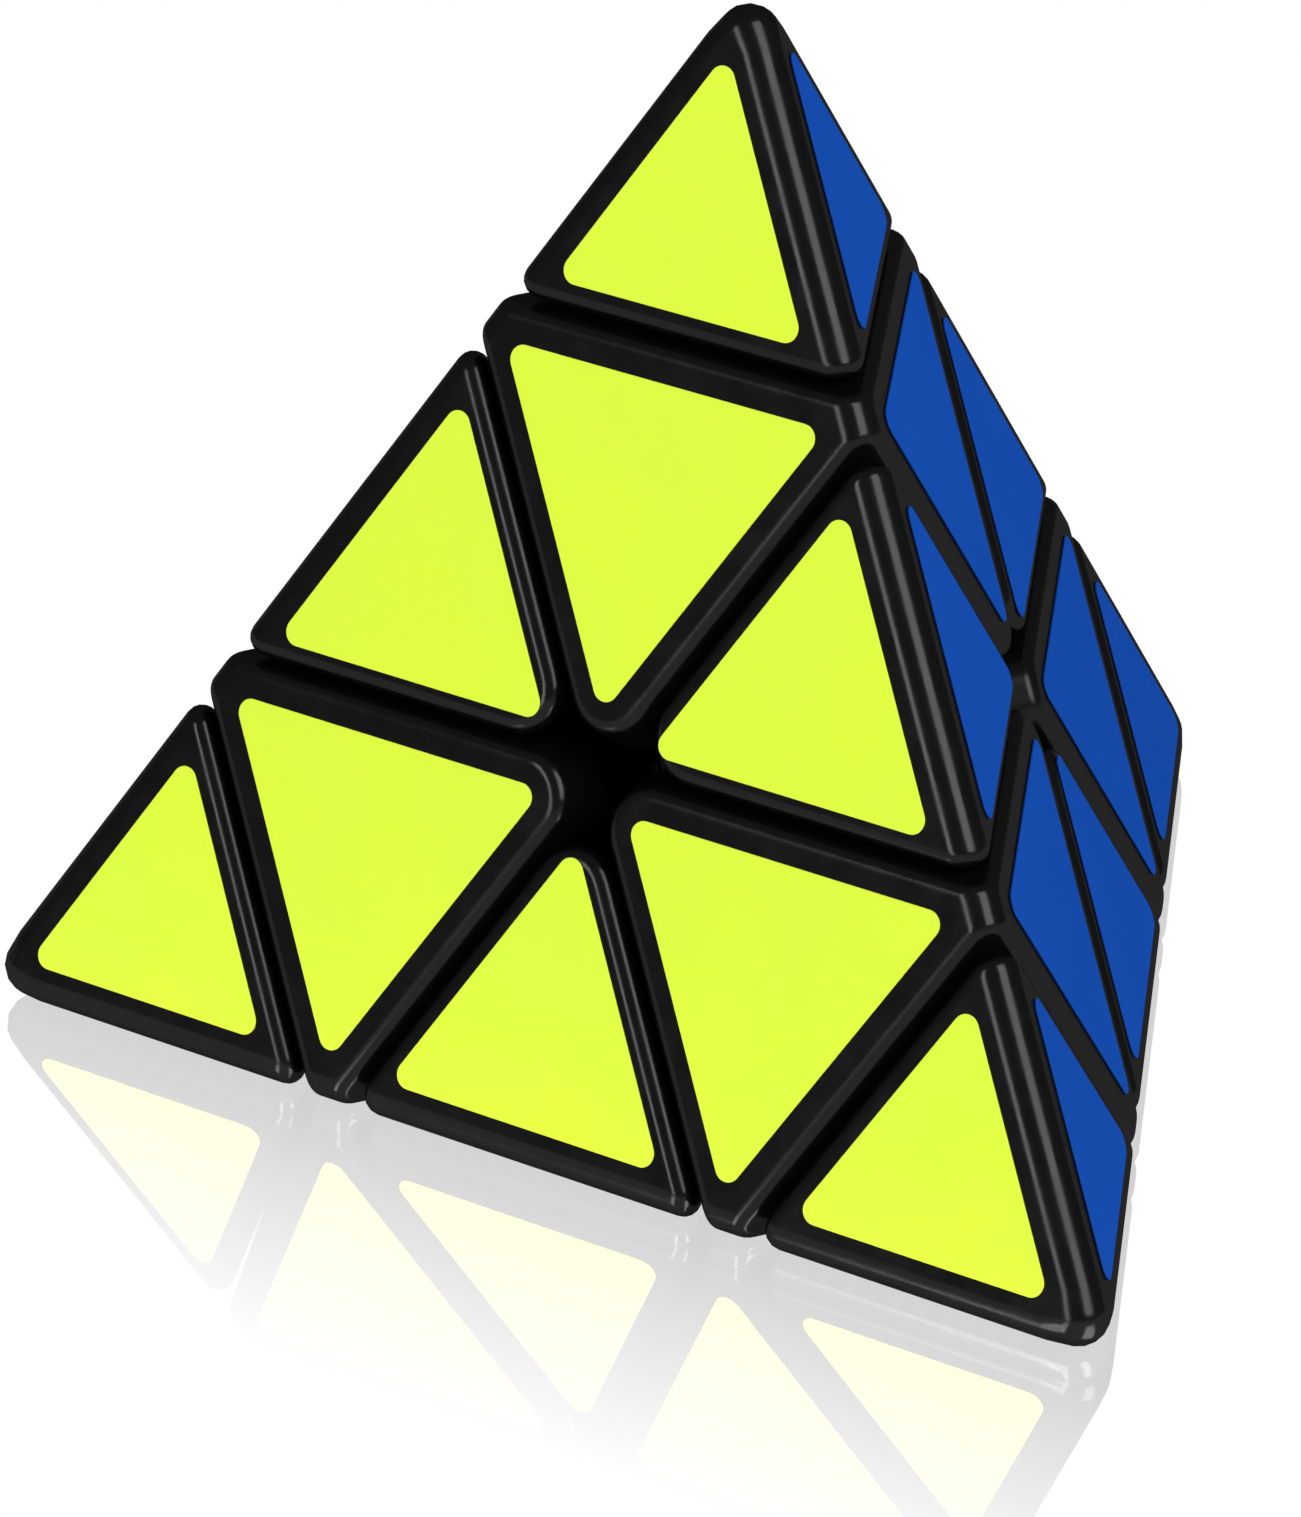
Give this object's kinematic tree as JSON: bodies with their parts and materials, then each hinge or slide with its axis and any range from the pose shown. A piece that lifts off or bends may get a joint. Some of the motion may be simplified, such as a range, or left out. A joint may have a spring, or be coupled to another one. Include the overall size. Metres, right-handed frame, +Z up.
{
  "type": "pyramid twisty puzzle",
  "caption": "Tetrahedral twisting puzzle with turning layers, freely twisting corner tips and coloured triangular stickers on black plastic pieces around a spring-loaded core.",
  "frame": {"origin": "centre of the core, where the four turning axes meet", "axes": "+Z up through the top tip, front face towards -Y, back corner towards +Y"},
  "size_m": [0.0926, 0.0805, 0.0759],
  "materials": {
    "black_plastic": "satin moulded ABS with fine grain",
    "core_plastic": "plain moulded ABS",
    "steel": "zinc plated",
    "lime_vinyl": "fluorescent vinyl film",
    "blue_vinyl": "smooth vinyl film",
    "green_vinyl": "smooth vinyl film",
    "red_vinyl": "smooth vinyl film"
  },
  "bodies": {
    "core": {"core": "core_plastic", "axis_screws": "steel", "tension_springs": "steel", "spring_washers": "steel"},
    "top_axial": {"axial_top": "black_plastic", "lime_axial_top": "lime_vinyl", "blue_axial_top": "blue_vinyl", "green_axial_top": "green_vinyl"},
    "top_tip": {"tip_cap_top": "black_plastic", "tip_stem_top": "core_plastic", "lime_tip_top": "lime_vinyl", "blue_tip_top": "blue_vinyl", "green_tip_top": "green_vinyl"},
    "left_axial": {"axial_left": "black_plastic", "lime_axial_left": "lime_vinyl", "green_axial_left": "green_vinyl", "red_axial_left": "red_vinyl"},
    "left_tip": {"tip_cap_left": "black_plastic", "tip_stem_left": "core_plastic", "lime_tip_left": "lime_vinyl", "green_tip_left": "green_vinyl", "red_tip_left": "red_vinyl"},
    "right_axial": {"axial_right": "black_plastic", "lime_axial_right": "lime_vinyl", "blue_axial_right": "blue_vinyl", "red_axial_right": "red_vinyl"},
    "right_tip": {"tip_cap_right": "black_plastic", "tip_stem_right": "core_plastic", "lime_tip_right": "lime_vinyl", "blue_tip_right": "blue_vinyl", "red_tip_right": "red_vinyl"},
    "back_axial": {"axial_back": "black_plastic", "blue_axial_back": "blue_vinyl", "green_axial_back": "green_vinyl", "red_axial_back": "red_vinyl"},
    "back_tip": {"tip_cap_back": "black_plastic", "tip_stem_back": "core_plastic", "blue_tip_back": "blue_vinyl", "green_tip_back": "green_vinyl", "red_tip_back": "red_vinyl"},
    "top_left_edge": {"edge_top_left": "black_plastic", "lime_edge_top_left": "lime_vinyl", "green_edge_top_left": "green_vinyl"},
    "top_right_edge": {"edge_top_right": "black_plastic", "lime_edge_top_right": "lime_vinyl", "blue_edge_top_right": "blue_vinyl"},
    "top_back_edge": {"edge_top_back": "black_plastic", "blue_edge_top_back": "blue_vinyl", "green_edge_top_back": "green_vinyl"},
    "left_right_edge": {"edge_left_right": "black_plastic", "lime_edge_left_right": "lime_vinyl", "red_edge_left_right": "red_vinyl"},
    "left_back_edge": {"edge_left_back": "black_plastic", "green_edge_left_back": "green_vinyl", "red_edge_left_back": "red_vinyl"},
    "right_back_edge": {"edge_right_back": "black_plastic", "blue_edge_right_back": "blue_vinyl", "red_edge_right_back": "red_vinyl"}
  },
  "joints": [
    {"name": "top_layer_turn", "type": "hinge", "parent": "core", "child": "top_axial", "pos_m": [0, 0, 0], "axis": [0, 0, 1], "range_deg": [-180, 120]},
    {"name": "left_layer_turn", "type": "hinge", "parent": "core", "child": "left_axial", "pos_m": [0, 0, 0], "axis": [-0.8165, -0.4714, -0.3333], "range_deg": [-360, 120]},
    {"name": "right_layer_turn", "type": "hinge", "parent": "core", "child": "right_axial", "pos_m": [0, 0, 0], "axis": [0.8165, -0.4714, -0.3333], "range_deg": [-360, 120]},
    {"name": "back_layer_turn", "type": "hinge", "parent": "core", "child": "back_axial", "pos_m": [0, 0, 0], "axis": [0, 0.9428, -0.3333], "range_deg": [-360, 120]},
    {"name": "top_tip_twist", "type": "hinge", "parent": "top_axial", "child": "top_tip", "pos_m": [0, 0, 0], "axis": [0, 0, 1], "continuous": true},
    {"name": "left_tip_twist", "type": "hinge", "parent": "left_axial", "child": "left_tip", "pos_m": [0, 0, 0], "axis": [-0.8165, -0.4714, -0.3333], "continuous": true},
    {"name": "right_tip_twist", "type": "hinge", "parent": "right_axial", "child": "right_tip", "pos_m": [0, 0, 0], "axis": [0.8165, -0.4714, -0.3333], "continuous": true},
    {"name": "back_tip_twist", "type": "hinge", "parent": "back_axial", "child": "back_tip", "pos_m": [0, 0, 0], "axis": [0, 0.9428, -0.3333], "continuous": true},
    {"name": "top_left_edge_turn", "type": "hinge", "parent": "left_axial", "child": "top_left_edge", "pos_m": [0, 0, 0], "axis": [0, 0, 1], "range_deg": [-180, 120]},
    {"name": "top_right_edge_turn", "type": "hinge", "parent": "top_axial", "child": "top_right_edge", "pos_m": [0, 0, 0], "axis": [0.8165, -0.4714, -0.3333], "range_deg": [-360, 120]},
    {"name": "top_back_edge_turn", "type": "hinge", "parent": "top_axial", "child": "top_back_edge", "pos_m": [0, 0, 0], "axis": [0, 0.9428, -0.3333], "range_deg": [-360, 120]},
    {"name": "left_right_edge_turn", "type": "hinge", "parent": "left_axial", "child": "left_right_edge", "pos_m": [0, 0, 0], "axis": [0.8165, -0.4714, -0.3333], "range_deg": [-360, 120]},
    {"name": "left_back_edge_turn", "type": "hinge", "parent": "back_axial", "child": "left_back_edge", "pos_m": [0, 0, 0], "axis": [-0.8165, -0.4714, -0.3333], "range_deg": [-360, 120]},
    {"name": "right_back_edge_turn", "type": "hinge", "parent": "back_axial", "child": "right_back_edge", "pos_m": [0, 0, 0], "axis": [0.8165, -0.4714, -0.3333], "range_deg": [-360, 120]}
  ],
  "couplings": [
    {"joint": "top_left_edge_turn", "follows": "top_layer_turn", "ratio": 1},
    {"joint": "top_right_edge_turn", "follows": "right_layer_turn", "ratio": 1},
    {"joint": "top_back_edge_turn", "follows": "back_layer_turn", "ratio": 1},
    {"joint": "left_right_edge_turn", "follows": "right_layer_turn", "ratio": 1},
    {"joint": "left_back_edge_turn", "follows": "left_layer_turn", "ratio": 1},
    {"joint": "right_back_edge_turn", "follows": "right_layer_turn", "ratio": 1}
  ]
}
